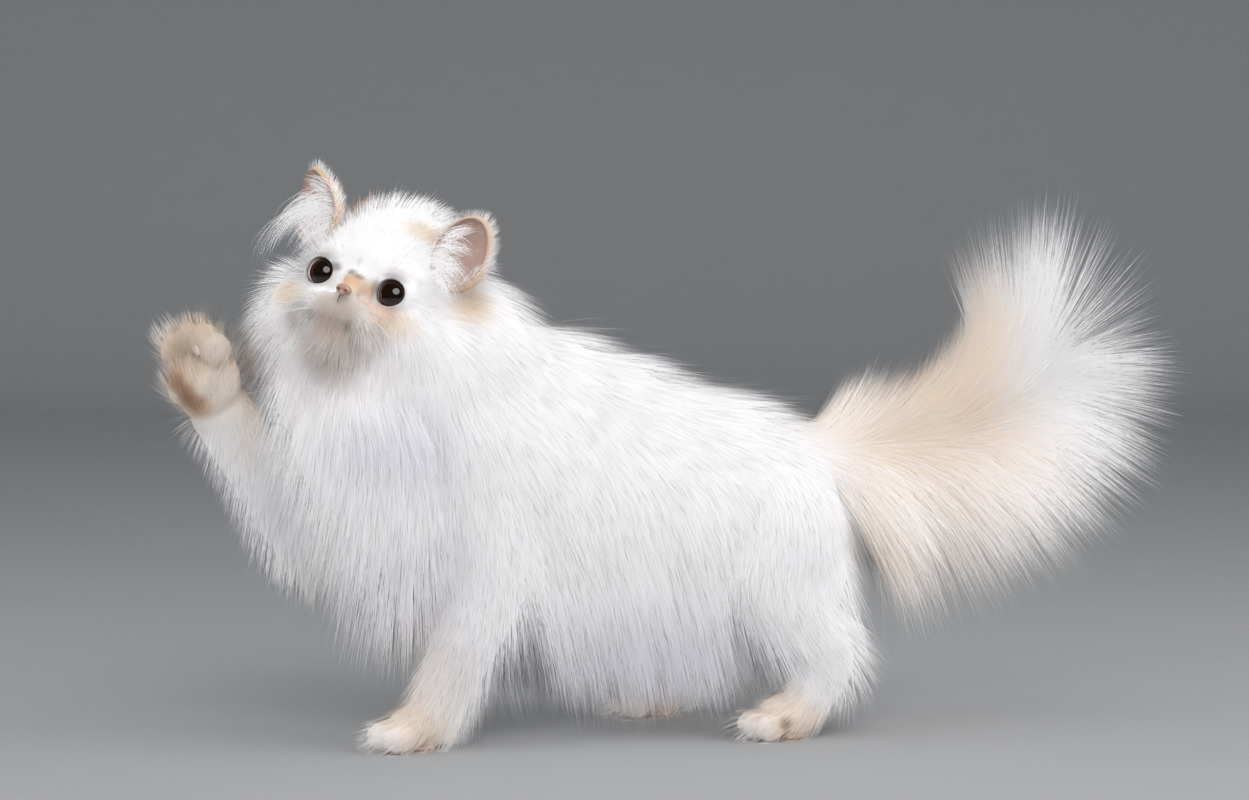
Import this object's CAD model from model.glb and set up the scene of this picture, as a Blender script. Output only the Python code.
"""The looks of a life-size Persian cat: a skin, a coat of solid tufts, eyes, nose, ears, pads and whiskers.

Every place below is in centimetres from the floor point under the body that the model was laid out from.
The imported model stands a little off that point, and SHIFT carries every piece over to it.
The cat faces -X and its left side is at -Y.
"""

import math

import bpy
import numpy as np
from mathutils import Matrix, Vector
from mathutils.kdtree import KDTree


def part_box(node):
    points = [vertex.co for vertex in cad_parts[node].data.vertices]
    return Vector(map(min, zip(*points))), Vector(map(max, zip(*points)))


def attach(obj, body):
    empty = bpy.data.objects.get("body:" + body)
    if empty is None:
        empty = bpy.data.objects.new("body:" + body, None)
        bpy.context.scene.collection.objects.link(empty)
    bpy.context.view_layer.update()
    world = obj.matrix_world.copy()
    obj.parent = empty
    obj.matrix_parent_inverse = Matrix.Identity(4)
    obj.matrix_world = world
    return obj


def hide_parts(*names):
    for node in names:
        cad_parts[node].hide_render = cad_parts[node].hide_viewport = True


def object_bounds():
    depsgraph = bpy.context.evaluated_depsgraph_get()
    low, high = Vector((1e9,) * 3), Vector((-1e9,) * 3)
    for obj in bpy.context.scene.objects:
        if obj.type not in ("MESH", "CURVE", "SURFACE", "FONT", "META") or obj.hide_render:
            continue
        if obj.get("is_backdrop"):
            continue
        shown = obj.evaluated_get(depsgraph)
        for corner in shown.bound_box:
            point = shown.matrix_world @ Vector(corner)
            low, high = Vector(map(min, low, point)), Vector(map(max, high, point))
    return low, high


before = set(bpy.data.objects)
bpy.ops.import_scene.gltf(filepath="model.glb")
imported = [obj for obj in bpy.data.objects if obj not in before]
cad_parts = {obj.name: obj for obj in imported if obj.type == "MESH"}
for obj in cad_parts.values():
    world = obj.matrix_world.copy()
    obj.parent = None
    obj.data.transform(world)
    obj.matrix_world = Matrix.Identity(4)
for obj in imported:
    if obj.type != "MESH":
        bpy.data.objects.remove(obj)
cad_lows, cad_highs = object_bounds()

CM = 0.01
UP = np.array([0, 0, 1])

# The head
HEAD_CENTRE = (-17, -1.6, 29)
HEAD_YAW = 58  # degrees, turned from straight ahead towards the cat's left
HEAD_PITCH = 18  # degrees, looking up
HEAD_ROLL = 15.8  # degrees, the left ear lower
EYE_APART = 2.68
EYE_FORWARD = 2.55
EYE_UP = 0.25
EYE_RADIUS = 1.22
EYE_OPENING = (1.05, 0.92)  # half width and half height between the lids
OPENING_APART = 1.02  # how much further apart the openings are than the eyeballs
LID_DEPTH = 0.26  # flesh round the eyeball
SOCKET_GAP = 0.03
LID_RIM = 0.06
EAR_ROOTS = {1: (5.3, -1.2, 4), -1: (-5.6, -1.4, 4.4)}  # left and right
EAR_LEAN = {1: 6, -1: -30}  # degrees, the tips apart
EAR_TURN = {1: 10, -1: -30}  # degrees, the cups outwards
EAR_TAPER = {1: (1.05, 0.15), -1: (1.35, 0.75)}  # breadth at the root and how much the tip is narrower
EAR_SIZE = (2, 0.92, 2.7)
EAR_CUP = (1.72, 1.04, 2.43)
EAR_CUP_CENTRE = (-0.1, -0.62, 0.45)

# The body, tail and legs
TAIL_PATH = [(13.2, 0, 18.2), (15.9, 0, 19), (19.4, 0, 18.9), (23.4, 0.1, 19.8), (26.8, 0.2, 21.6),
             (29.3, 0.3, 24.6)]
FORELEG_LEFT = [(-9.6, -3.4, 16.5), (-9.9, -4.4, 11), (-12.6, -4.7, 4.6), (-13.6, -4.8, 2.2)]
FORELEG_RIGHT = [(-10.2, 3.4, 16.5), (-15, 4.6, 14), (-20.6, 4.3, 13.6), (-24, 3.4, 17.8),
                 (-26.6, 2.5, 21.6)]
HINDLEG_LEFT = [(9.6, -3, 14.5), (8.6, -4, 10.6), (12.6, -4.9, 5.6), (11.2, -5.2, 2.6)]
HINDLEG_RIGHT = [(8.6, 3, 14.5), (4.8, 4, 10.6), (7.2, 4.9, 5.6), (5.2, 5.2, 2.6)]
# Each paw: its centre, the way it points, how far the palm is turned up, and its size
PAWS = {
    "forepaw_left": ((-15, -4.9, 1.5), -82, 0, 1),
    "forepaw_right": ((-27.9, 2, 24.2), -50, -100, 1.18),
    "hindpaw_left": ((9.4, -5.4, 1.5), -84, 0, 1),
    "hindpaw_right": ((3, 5.4, 1.5), -92, 0, 1),
}
RAISED_PAW = "forepaw_right"
TOES = [(-1.35, -1.3), (-0.48, -1.85), (0.48, -1.85), (1.35, -1.3)]


def head_frame():
    """The head's own axes: x to the cat's left, -y out of the face, z out of the crown."""
    yaw = Matrix.Rotation(math.radians(-90 + HEAD_YAW), 4, "Z")
    pitch = Matrix.Rotation(math.radians(-HEAD_PITCH), 4, "X")
    roll = Matrix.Rotation(math.radians(HEAD_ROLL), 4, "Y")
    return Matrix.Translation(HEAD_CENTRE) @ yaw @ pitch @ roll


HEAD = head_frame()


def ear_frame(side):
    """An ear's own axes: z to its tip, -y out of its cup."""
    lean = Matrix.Rotation(math.radians(EAR_LEAN[side]), 4, "Y")
    turn = Matrix.Rotation(math.radians(EAR_TURN[side]), 4, "Z")
    return HEAD @ Matrix.Translation(EAR_ROOTS[side]) @ lean @ turn


def paw_frame(name):
    centre, heading, lift, size = PAWS[name]
    turn = Matrix.Rotation(math.radians(heading), 4, "Z") @ Matrix.Rotation(math.radians(lift), 4, "X")
    return Matrix.Translation(centre) @ turn @ Matrix.Scale(size, 4)


def model_shift():
    """From the layout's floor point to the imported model, in centimetres, by the left eyeball."""
    lows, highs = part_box("eye_left")
    return (lows + highs) / 2 / CM - HEAD @ Vector((EYE_APART, -EYE_FORWARD, EYE_UP))


SHIFT = model_shift()
FLOOR = -SHIFT.z


def moved(matrix, points):
    """Points of an n x 3 array carried through a matrix."""
    m = np.array(matrix)
    return points @ m[:3, :3].T + m[:3, 3]


def turned(matrix, vectors):
    return vectors @ np.array(matrix)[:3, :3].T


def unit(vectors):
    return vectors / np.maximum(np.linalg.norm(vectors, axis=-1, keepdims=True), 1e-9)


def dot(a, b):
    return np.sum(a * b, axis=-1)


def ramp(value, low, high):
    """0 below low, 1 above high and smooth between."""
    t = np.clip((value - low) / (high - low), 0, 1)
    return t * t * (3 - 2 * t)


def smooth_path(points, steps):
    """Places along a smooth curve through the points, with steps to each stretch."""
    knots = [np.array(p, float) for p in points]
    knots = [2 * knots[0] - knots[1], *knots, 2 * knots[-1] - knots[-2]]
    found = []
    for a, b, c, d in zip(knots, knots[1:], knots[2:], knots[3:]):
        for step in range(steps):
            t = step / steps
            found.append(0.5 * (2 * b + (c - a) * t + (2 * a - 5 * b + 4 * c - d) * t**2
                                + (3 * b - a - 3 * c + d) * t**3))
    found.append(knots[-2])
    return np.array(found)


def both_sides(x, y, z):
    return [(x, y, z), (-x, y, z)]


# Forms of the flesh: each is a centre, half sizes and axes

def body_forms(rows):
    return [(*row, Matrix()) for row in rows]


def limb_forms(points, radii):
    rows = smooth_path([(*p, r) for p, r in zip(points, radii)], 5)
    return body_forms([(tuple(row[:3]), (row[3],) * 3) for row in rows])


def head_forms():
    found = [
        ((0, 1.4, 1.4), (5.4, 4.9, 5.4)),  # cranium
        ((0, -1.6, 2), (2.9, 2, 2.2)),  # forehead
        ((0, -2.9, 0.3), (0.95, 1.05, 1.15)),  # bridge between the eyes
        ((0, -3.9, -0.6), (0.72, 0.7, 0.52)),  # nose
        ((0, -2.8, -3.8), (1.9, 1.4, 1.5)),  # chin
        ((0, -1, -3.4), (3.6, 3, 2.3)),  # jaw
    ]
    for centre, radii in (
        ((2.3, -2.2, 1.75), (1.7, 1.2, 1.05)),  # brow
        ((3.1, -0.8, -1.6), (2.5, 2.5, 2.3)),  # cheek
        ((2.2, -2.6, -1.4), (1.4, 1.15, 0.9)),  # under the eye
        ((1.15, -3.5, -2), (1.5, 1.05, 1.15)),  # muzzle pad
        ((4.2, 0.8, -1.9), (3.2, 3, 3.3)),  # full side of the face
        ((2.4, 0.6, -4), (2.9, 2.8, 2.3)),  # full lower cheek
    ):
        found += [(place, radii) for place in both_sides(*centre)]
    return [(*form, HEAD) for form in found]


def paw_forms(name):
    if name == RAISED_PAW:
        found = [((0.25, 0.5, 0.2), (2.1, 2.1, 1.6)), ((-0.1, 0.9, -0.9), (1.45, 1.1, 0.85)),
                 ((1.1, 0.5, -0.7), (0.9, 1.1, 0.9))]
        found += [((1.15 * x, y + 0.1, -0.75), (0.78, 1.05, 1)) for x, y in TOES]
    else:
        found = [((0, 0.5, 0.2), (1.8, 2.1, 1.42))]
        found += [((x, y, -0.35), (0.62, 1.1, 0.9)) for x, y in TOES]
    return [(*form, paw_frame(name)) for form in found]


FLESH = {
    "head": head_forms(),
    "neck": limb_forms([(-8.5, 0, 19), (-12, -0.4, 21.6), (-14.6, -0.8, 24.2)], [6.6, 6, 4.9])
    + body_forms([
        ((-16.6, -1.2, 20.5), (5.8, 5.4, 6.2)),
        ((-14.6, -0.6, 16.2), (4.4, 4.6, 4.8)),
        ((-19, 0.3, 23.4), (4.4, 4, 4.7)),
        ((-9.8, -0.3, 22.6), (5.6, 5.2, 5.7)),
        ((-11.8, -0.8, 26.2), (4.7, 4.8, 4.7)),
    ]),
    "torso": body_forms([
        ((-6, 0, 17.1), (9.3, 6.3, 8)),
        ((-1.5, 0, 16.5), (9, 6.4, 7.9)),
        ((-3.2, 0, 18.7), (7.4, 5.6, 7)),
        ((-6.4, -0.2, 20.4), (5.8, 5.4, 6.9)),
        ((3.3, 0, 15.6), (9.1, 6.4, 7.5)),
        ((9.6, 0, 14.4), (5.2, 6, 6.2)),
        ((-9.6, 3.1, 14), (4.2, 3.2, 5.4)),
        ((-9.6, -3.1, 14), (4.2, 3.2, 5.4)),
        ((10, -3.5, 11), (4.4, 3, 4.8)),
        ((7, 3.5, 11), (4.6, 3, 4.8)),
        ((2, 0, 11.4), (8, 4.6, 5)),
    ]),
    "tail": limb_forms(TAIL_PATH, [2, 1.3, 1.1, 1.1, 1.15, 1.1]),
    "foreleg_left": limb_forms(FORELEG_LEFT, [3.4, 2.6, 1.95, 1.85]),
    "foreleg_right": limb_forms(FORELEG_RIGHT, [3.2, 2.8, 2.5, 2.2, 2.1]),
    "hindleg_left": limb_forms(HINDLEG_LEFT, [4, 3.4, 1.9, 1.6]),
    "hindleg_right": limb_forms(HINDLEG_RIGHT, [4, 3.4, 1.9, 1.6]),
    **{name: paw_forms(name) for name in PAWS},
}
FLESH_NODES = ["head", "neck", "torso", "tail_base", "tail_middle", "tail_tip", "foreleg_left",
               "foreleg_right_upper", "foreleg_right_lower", "hindleg_left", "hindleg_right", *PAWS]


# Meshes

MAP = "OFBake"  # every surface is unwrapped onto a map of this name


def new_object(name, data):
    thing = bpy.data.objects.new(name, data)
    bpy.context.scene.collection.objects.link(thing)
    return thing


def object_from(name, points, faces):
    mesh = bpy.data.meshes.new(name)
    mesh.from_pydata([tuple(p) for p in points], [], faces)
    return new_object(name, mesh)


def read_all(items, field, wide=3, kind=np.float32):
    """One field of every item of a mesh, a row to each."""
    found = np.empty(len(items) * wide, kind)
    items.foreach_get(field, found)
    return found.reshape(-1, wide)


def vertex_array(mesh):
    return read_all(mesh.vertices, "co").astype(float)


def map_array(mesh):
    """Where each corner of a face lies on the unwrapped map."""
    return read_all(mesh.uv_layers[MAP].data, "uv", 2)


def set_places(mesh, places):
    mesh.vertices.foreach_set("co", places.astype(np.float32).ravel())
    mesh.update()


def unit_ball(rings):
    """Points and faces of a ball of radius 1."""
    points, faces = [(0, 0, 1)], []
    sides = 2 * rings
    for k in range(1, rings):
        high = math.pi * k / rings
        for j in range(sides):
            turn = math.tau * j / sides
            points.append((math.sin(high) * math.cos(turn), math.sin(high) * math.sin(turn), math.cos(high)))
    points.append((0, 0, -1))
    last = len(points) - 1
    for j in range(sides):
        ahead = (j + 1) % sides
        faces.append((0, 1 + j, 1 + ahead))
        faces.append((last, last - sides + ahead, last - sides + j))
        for k in range(rings - 2):
            low = 1 + sides * k
            faces.append((low + j, low + sides + j, low + sides + ahead, low + ahead))
    return np.array(points), faces


def balls(name, forms, rings=16):
    """An object of separate balls, one to each form."""
    ball, sheets = unit_ball(rings)
    points, faces = [], []
    for centre, radii, axes in forms:
        faces += [tuple(v + len(points) * len(ball) for v in face) for face in sheets]
        points.append(moved(axes, ball * radii + centre))
    return object_from(name, np.concatenate(points).tolist(), faces)


def finished(thing):
    """Applies the modifiers of an object to its mesh."""
    graph = bpy.context.evaluated_depsgraph_get()
    mesh = bpy.data.meshes.new_from_object(thing.evaluated_get(graph))
    thing.modifiers.clear()
    thing.data = mesh
    return thing


def blended(name, forms, voxel, rounds, rings=16):
    """One closed smooth surface round all the balls."""
    thing = balls(name, forms, rings)
    remesh = thing.modifiers.new("one surface", "REMESH")
    remesh.mode = "VOXEL"
    remesh.voxel_size = voxel
    soften = thing.modifiers.new("soften", "SMOOTH")
    soften.factor = 0.5
    soften.iterations = rounds
    return finished(thing)


def cut(thing, forms, rings=24):
    """Cuts balls out of an object."""
    for form in forms:
        cutter = balls("cutter", [form], rings)
        step = thing.modifiers.new("cut", "BOOLEAN")
        step.operation = "DIFFERENCE"
        step.solver = "MANIFOLD"
        step.object = cutter
        finished(thing)
        bpy.data.objects.remove(cutter)


def lifted(mesh):
    """Keeps a mesh from reaching under the floor."""
    set_places(mesh, np.maximum(vertex_array(mesh), (-np.inf, -np.inf, FLOOR)))


def tube(points, radii, sides=8):
    """Points and faces of a closed tube along places, with a radius at each."""
    points = np.array(points, float)
    last = len(points) - 1
    side = Vector(points[1] - points[0]).orthogonal()
    verts, faces = [], []
    for k, place in enumerate(points):
        ahead = Vector(points[min(k + 1, last)] - points[max(k - 1, 0)]).normalized()
        side = (side - ahead * side.dot(ahead)).normalized()
        up = ahead.cross(side)
        for j in range(sides):
            turn = math.tau * j / sides
            verts.append(Vector(place) + (side * math.cos(turn) + up * math.sin(turn)) * radii[k])
            if k < last:
                a, b = sides * k + j, sides * k + (j + 1) % sides
                faces.append((a, b, b + sides, a + sides))
    faces.append(tuple(reversed(range(sides))))
    faces.append(tuple(sides * last + j for j in range(sides)))
    return verts, faces


def tubes(name, paths):
    """One object of several tubes, each a list of places and their radii."""
    verts, faces = [], []
    for points, radii in paths:
        more, sheets = tube(points, radii)
        faces += [tuple(v + len(verts) for v in face) for face in sheets]
        verts += more
    return object_from(name, verts, faces)


def add_mask(mesh, name, values):
    mask = mesh.attributes.new(name, "FLOAT", "POINT")
    mask.data.foreach_set("value", np.ascontiguousarray(values, np.float32))


def placed(thing, material, replaced=()):
    """Carries a piece modelled in centimetres to its place, in metres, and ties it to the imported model."""
    thing.data.transform(Matrix.Scale(CM, 4) @ Matrix.Translation(SHIFT))
    thing.data.materials.clear()
    thing.data.materials.append(material)
    thing.data.shade_smooth()
    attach(thing, "root")
    if replaced:
        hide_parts(*replaced)
    return thing


# Markings: soft patches of colour, the same for the skin and the coat

# Each mark is a centre, half sizes and a strength. It fades between these shares of its half sizes.
MARK_FADE = (0.35, 1.15)
BODY_MARKS = {
    "cream": [
        (PAWS["forepaw_left"][0], (3.4, 3.4, 2.8), 0.85),
        ((-13.2, -4.8, 5), (3.2, 3.2, 4.4), 0.45),  # left foreleg, above the paw
        (PAWS["forepaw_right"][0], (3.8, 3.8, 4.2), 1),
        ((-25.2, 2.9, 20.6), (2.2, 3, 3.4), 0.7),  # wrist of the raised paw
        (PAWS["hindpaw_left"][0], (3.8, 3.4, 2.6), 0.85),
        (PAWS["hindpaw_right"][0], (3.8, 3.4, 2.6), 0.85),
        ((-28.2, 1.6, 26.4), (3.4, 3.6, 3.2), 0.95),  # toes of the raised paw
        ((20.6, 0, 20.6), (9.4, 7, 5.6), 0.75),  # tail, along the bone
        ((23, 0, 25.6), (5.4, 7, 8.4), 0.8),  # upper edge of the plume
        ((24.5, 0, 17), (9, 7, 7), 0.35),  # lower half of the plume
        ((19.5, 0, 14), (7, 7, 8), 0.5),  # below the root of the tail
    ],
    "orange": [
        ((-26.4, 2, 24.2), (2.6, 2.6, 2.2), 0.35),  # inner side of the raised paw
        ((-29.8, 0.6, 23.9), (0.8, 1.9, 1), 0.9),  # outer edge of the raised paw
        ((-29, 0.6, 23), (0.8, 1.9, 1), 1),
        ((-28.2, 0.6, 22.2), (0.9, 1.9, 0.9), 0.8),
        ((-25.4, 3, 21), (1.7, 2, 3), 0.4),  # wrist of the raised paw
        ((9, -6, 1.2), (1.7, 2, 1.2), 0.4),  # near side of the left hind paw
        ((24, 0, 21.6), (2.2, 4, 1.8), 0.4),  # tail, along the bone
        ((15.6, -1, 16.6), (1.4, 3, 1.6), 0.5),  # root of the tail
    ],
    "shade": [
        ((21.5, 0, 12.5), (7, 7, 5), 0.42),  # underside of the plume
        ((-28.2, 1.6, 26.4), (3.2, 3.4, 3), 0.4),  # toes of the raised paw
        (PAWS["forepaw_right"][0], (3.2, 3.2, 3.4), 0.5),
    ],
    "dark": [
        ((-29.7, 0.8, 23.7), (0.7, 1.8, 0.9), 0.55),  # hollow at the edge of the raised paw
        ((-29.1, 0.8, 23), (0.7, 1.8, 0.9), 0.65),
        ((-28.5, 0.8, 22.4), (0.7, 1.8, 0.8), 0.45),
        ((9.2, -7, 1.4), (0.5, 1, 0.5), 0.7),  # between the toes of the left hind paw
    ],
    "cool": [
        ((1, -3, 5), (12, 8, 5), 0.65),  # fringe of the belly
        ((-16.3, -5, 19.2), (5.5, 5, 3.8), 0.7),  # ruff below the chin
        ((-14, -2, 11), (6.5, 7, 5), 0.35),  # lower edge of the ruff
        ((-12.6, -4.8, 6), (3.4, 3.4, 5), 0.4),  # near foreleg
        ((-22.5, 3, 15.5), (5, 4, 3.5), 0.3),  # underside of the raised arm
    ],
}
HEAD_MARKS = {  # in the head's axes
    "cream": [
        ((-4.6, -2.4, -1.5), (2.3, 1.8, 1.2), 0.8),  # below the right eye
        ((0, -3.9, -2.4), (2.6, 2, 2), 0.4),  # muzzle
        ((2.9, -2.6, -1.5), (2.6, 1.8, 1.5), 0.75),  # below the left eye
        ((2.6, -1.8, 5.1), (1.9, 1.8, 0.9), 0.7),  # above the left eye, beside the ear
        ((6.8, -0.4, 1.9), (1.7, 2.4, 2), 0.8),  # under the left ear
        ((5.6, 0.6, 6.6), (3, 2.4, 3.6), 0.8),  # back of the left ear
        ((-5.4, 0.4, 7.4), (3, 2.2, 3.6), 0.75),  # back of the right ear
        ((0.2, -3.7, 0), (1.5, 1.3, 1), 1),  # bridge of the nose
        ((0.3, -3.4, -3.2), (2.2, 1.6, 1.6), 0.35),  # chin
    ],
    "orange": [
        ((2.3, -3.1, -1.2), (1.9, 1.5, 0.9), 0.55),  # below the left eye
        ((-0.35, -3.9, 0.15), (1.15, 1, 0.6), 0.65),  # above the nose
        ((1.3, -3.5, 0), (0.6, 0.9, 0.9), 0.5),  # between the nose and the left eye
        ((6.9, -0.4, 2.2), (1.3, 2, 1.6), 0.35),  # under the left ear
        ((-4.1, -0.8, 6.3), (1.7, 2, 1.5), 0.95),  # foot of the right ear
    ],
    "shade": [
        ((0.1, -4.1, -2.1), (2.7, 2, 1.9), 0.8),  # mouth
        ((0.1, -3.2, -4.7), (3.1, 2.6, 2.5), 0.85),  # chin and below it
        ((-2.9, -3.2, -3), (2, 1.7, 1.6), 0.6),  # right corner of the mouth
        ((2.4, -3.2, -3.4), (1.4, 1.6, 1.8), 0.5),  # left corner of the mouth
        ((-0.2, -3, 1.6), (0.28, 0.8, 0.8), 0.5),  # furrow of the brow
        ((-2.7, -3.2, 1.65), (1.1, 0.8, 0.42), 0.35),  # above the eyes
        ((2.5, -3.2, 1.65), (1.1, 0.8, 0.42), 0.35),
        ((5.6, -0.9, 6.4), (3, 2.2, 3.6), 0.35),  # left ear
        ((-5.8, -0.9, 7.2), (3, 2.2, 3.6), 0.35),  # right ear
    ],
    "dark": [
        ((2.73, -3.7, 0.25), (1.34, 1, 1.2), 1),  # lids
        ((-2.73, -3.7, 0.25), (1.34, 1, 1.2), 1),
        ((-1.75, -3.5, 0.85), (0.5, 0.9, 0.42), 0.75),  # inner corners of the eyes
        ((1.42, -3.6, 0.3), (0.42, 0.8, 0.85), 0.6),
        ((2.5, -3.4, 1.3), (1.3, 0.8, 0.34), 0.5),  # upper lids
        ((-2.8, -3.4, 1.3), (1.2, 0.8, 0.34), 0.5),
        ((-1.6, -4, -2.7), (1.1, 1.4, 0.45), 0.4),  # line of the lips, to the right
        ((-2.8, -3.5, -3.5), (0.9, 1.4, 0.45), 0.4),
        ((1.3, -4, -2.8), (0.7, 1.4, 0.6), 0.45),  # line of the lips, to the left
        ((1.8, -3.7, -3.6), (0.6, 1.4, 0.7), 0.4),
        ((-0.35, -3.6, 0.78), (0.55, 0.7, 0.26), 0.7),  # furrow above the nose
        ((0.25, -3.6, 0.6), (0.5, 0.7, 0.24), 0.7),
    ],
}


def markings(points):
    """How strongly each marking shows at each place, from 0 to 1."""
    in_head = moved(HEAD.inverted(), points)
    found = {}
    for name, patches in BODY_MARKS.items():
        clear = np.ones(len(points))
        marks = [(points, *mark) for mark in patches]
        marks += [(in_head, *mark) for mark in HEAD_MARKS.get(name, [])]
        for places, centre, radii, strength in marks:
            reach = np.linalg.norm((places - centre) / radii, axis=1)
            clear *= 1 - strength * (1 - ramp(reach, *MARK_FADE))
        found[name] = 1 - clear
    return found


# Materials

def set_inputs(node, **values):
    for name, value in values.items():
        node.inputs[name.replace("_", " ")].default_value = value


class Nodes:
    """Builds a material's nodes with short calls."""

    def __init__(self, name):
        self.material = bpy.data.materials.new(name)
        self.material.use_nodes = True
        self.tree = self.material.node_tree
        self.shader = self.tree.nodes["Principled BSDF"]

    def add(self, kind, **settings):
        node = self.tree.nodes.new(kind)
        for key, value in settings.items():
            setattr(node, key, value)
        return node

    def join(self, value, socket):
        """Sets a socket to a number or a colour, or links another node's output to it."""
        if isinstance(value, bpy.types.NodeSocket):
            self.tree.links.new(value, socket)
        else:
            socket.default_value = (*value, 1) if isinstance(value, tuple) else value

    def mask(self, name):
        return self.add("ShaderNodeAttribute", attribute_name=name).outputs["Fac"]

    def scaled(self, value, by):
        node = self.add("ShaderNodeMath", operation="MULTIPLY")
        self.join(value, node.inputs[0])
        self.join(by, node.inputs[1])
        return node.outputs[0]

    def mixed(self, share, first, second):
        """Two colours mixed by a share."""
        node = self.add("ShaderNodeMix", data_type="RGBA")
        for value, socket in ((share, 0), (first, 6), (second, 7)):
            self.join(value, node.inputs[socket])
        return node.outputs[2]

    def noise(self, scale, detail, roughness, stretch=(1, 1, 1)):
        node = self.add("ShaderNodeTexNoise")
        set_inputs(node, Scale=scale, Detail=detail, Roughness=roughness)
        mapping = self.add("ShaderNodeMapping")
        set_inputs(mapping, Scale=stretch)
        self.join(self.add("ShaderNodeTexCoord").outputs["Object"], mapping.inputs["Vector"])
        self.join(mapping.outputs["Vector"], node.inputs["Vector"])
        return node.outputs["Fac"]

    def finish(self, colour, bumps=None, strength=0.5, distance=0.0006, **values):
        """Joins the colour and the bumps to the shader, sets its other values and returns the material."""
        self.join(colour, self.shader.inputs["Base Color"])
        if bumps:
            node = self.add("ShaderNodeBump")
            set_inputs(node, Strength=strength, Distance=distance)
            self.join(bumps, node.inputs["Height"])
            self.join(node.outputs["Normal"], self.shader.inputs["Normal"])
        set_inputs(self.shader, **values)
        return self.material


WHITE = (0.915, 0.91, 0.935)
WARM_WHITE = (0.875, 0.865, 0.865)
CREAM = (0.74, 0.55, 0.37)
ORANGE = (0.62, 0.3, 0.13)
GREY_BROWN = (0.28, 0.215, 0.175)
DARK_BROWN = (0.055, 0.032, 0.024)
COOL = (0.56, 0.56, 0.65)
# Each mark's colour and how much of it shows where the mark is strongest
TINTS = (
    ("cream", CREAM, 0.85),
    ("orange", ORANGE, 0.85),
    ("cool", COOL, 0.85),
    ("shade", GREY_BROWN, 0.85),
    ("dark", DARK_BROWN, 0.9),
)
# How far an eye's colours lie from the middle of its gaze, as a share of EYE_WIDE
PUPIL = (0.01, 0.005, 0.003)
EYE_RINGS = (
    (0.6, (0.012, 0.006, 0.004)),
    (0.66, (0.055, 0.026, 0.016)),
    (0.84, (0.035, 0.017, 0.011)),
    (0.88, (0.02, 0.01, 0.008)),
    (0.91, (0.55, 0.5, 0.5)),
    (1, (0.62, 0.55, 0.54)),
)


def coat_colour(nodes):
    """White with the cat's cream, orange and grey-brown markings, each broken up a little."""
    broken = nodes.noise(90, 4, 0.6)
    colour = nodes.mixed(broken, WHITE, WARM_WHITE)
    for name, tint, strength in TINTS:
        colour = nodes.mixed(nodes.scaled(nodes.mask(name), strength), colour, tint)
    return colour


def fur_material():
    nodes = Nodes("soft_fur")
    colour = nodes.mixed(nodes.scaled(nodes.mask("tone"), 0.28), coat_colour(nodes), (0.52, 0.44, 0.39))
    colour = nodes.mixed(nodes.scaled(nodes.mask("depth"), 0.06), colour, (0.62, 0.54, 0.5))
    return nodes.finish(colour, Roughness=0.62, Specular_IOR_Level=0.25, Sheen_Weight=0.25,
                        Sheen_Roughness=0.5)


def skin_material():
    nodes = Nodes("furred_skin")
    hairs = nodes.noise(420, 4, 0.7, (1, 1, 0.35))
    colour = nodes.mixed(nodes.scaled(hairs, 0.1), coat_colour(nodes), (0.74, 0.66, 0.6))
    return nodes.finish(colour, hairs, 0.5, 0.001, Roughness=0.7, Specular_IOR_Level=0.2)


def wet_material(name, colour, darker, roughness, scale=300):
    """Bare skin: fine pores, uneven colour and a slight shine."""
    nodes = Nodes(name)
    uneven = nodes.mixed(nodes.noise(scale * 0.3, 3, 0.6), colour, darker)
    pores = nodes.noise(scale, 2, 0.6)
    return nodes.finish(uneven, pores, 0.35, Roughness=roughness, Specular_IOR_Level=0.5,
                        Subsurface_Weight=0.15, Subsurface_Scale=0.003)


def ear_material():
    """Thin pink skin inside the cup and tan short hair towards the rim and the back."""
    nodes = Nodes("ear_skin")
    uneven = nodes.noise(120, 4, 0.6)
    inside = nodes.mixed(uneven, (0.39, 0.26, 0.225), (0.46, 0.33, 0.285))
    back = nodes.mixed(uneven, (0.66, 0.5, 0.36), (0.54, 0.37, 0.25))
    colour = nodes.mixed(nodes.mask("rim"), inside, back)
    return nodes.finish(colour, nodes.noise(500, 3, 0.7), 0.4, Roughness=0.6, Specular_IOR_Level=0.3,
                        Subsurface_Weight=0.2, Subsurface_Scale=0.004)


def eye_material():
    """A near-black pupil, a dark brown iris and a thin edge of white, under a clear wet surface."""
    nodes = Nodes("wet_eye")
    rings = nodes.add("ShaderNodeValToRGB")
    nodes.join(nodes.mask("off_gaze"), rings.inputs["Fac"])
    stops = rings.color_ramp.elements
    stops.remove(stops[1])
    stops[0].color = (*PUPIL, 1)
    for place, colour in EYE_RINGS:
        stops.new(place).color = (*colour, 1)
    flecks = nodes.scaled(nodes.noise(900, 3, 0.6), 0.3)
    return nodes.finish(nodes.mixed(flecks, rings.outputs["Color"], (0.01, 0.006, 0.005)), Roughness=0.4,
                        Specular_IOR_Level=0, Coat_Weight=1, Coat_Roughness=0.01, Coat_IOR=1.6)


def horn_material(name, colour):
    nodes = Nodes(name)
    streaks = nodes.scaled(nodes.noise(600, 3, 0.6, (1, 1, 0.2)), 0.4)
    colour = nodes.mixed(streaks, colour, tuple(0.7 * c for c in colour))
    return nodes.finish(colour, Roughness=0.35, Specular_IOR_Level=0.5)


def stage_material():
    nodes = Nodes("pale_floor")
    grain = nodes.scaled(nodes.noise(14, 4, 0.6), 0.35)
    colour = nodes.mixed(grain, (0.36, 0.363, 0.37), (0.4, 0.403, 0.41))
    return nodes.finish(colour, Roughness=0.9, Specular_IOR_Level=0.1)


# The skin

def eye_centres():
    return both_sides(EYE_APART, -EYE_FORWARD, EYE_UP)


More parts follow.
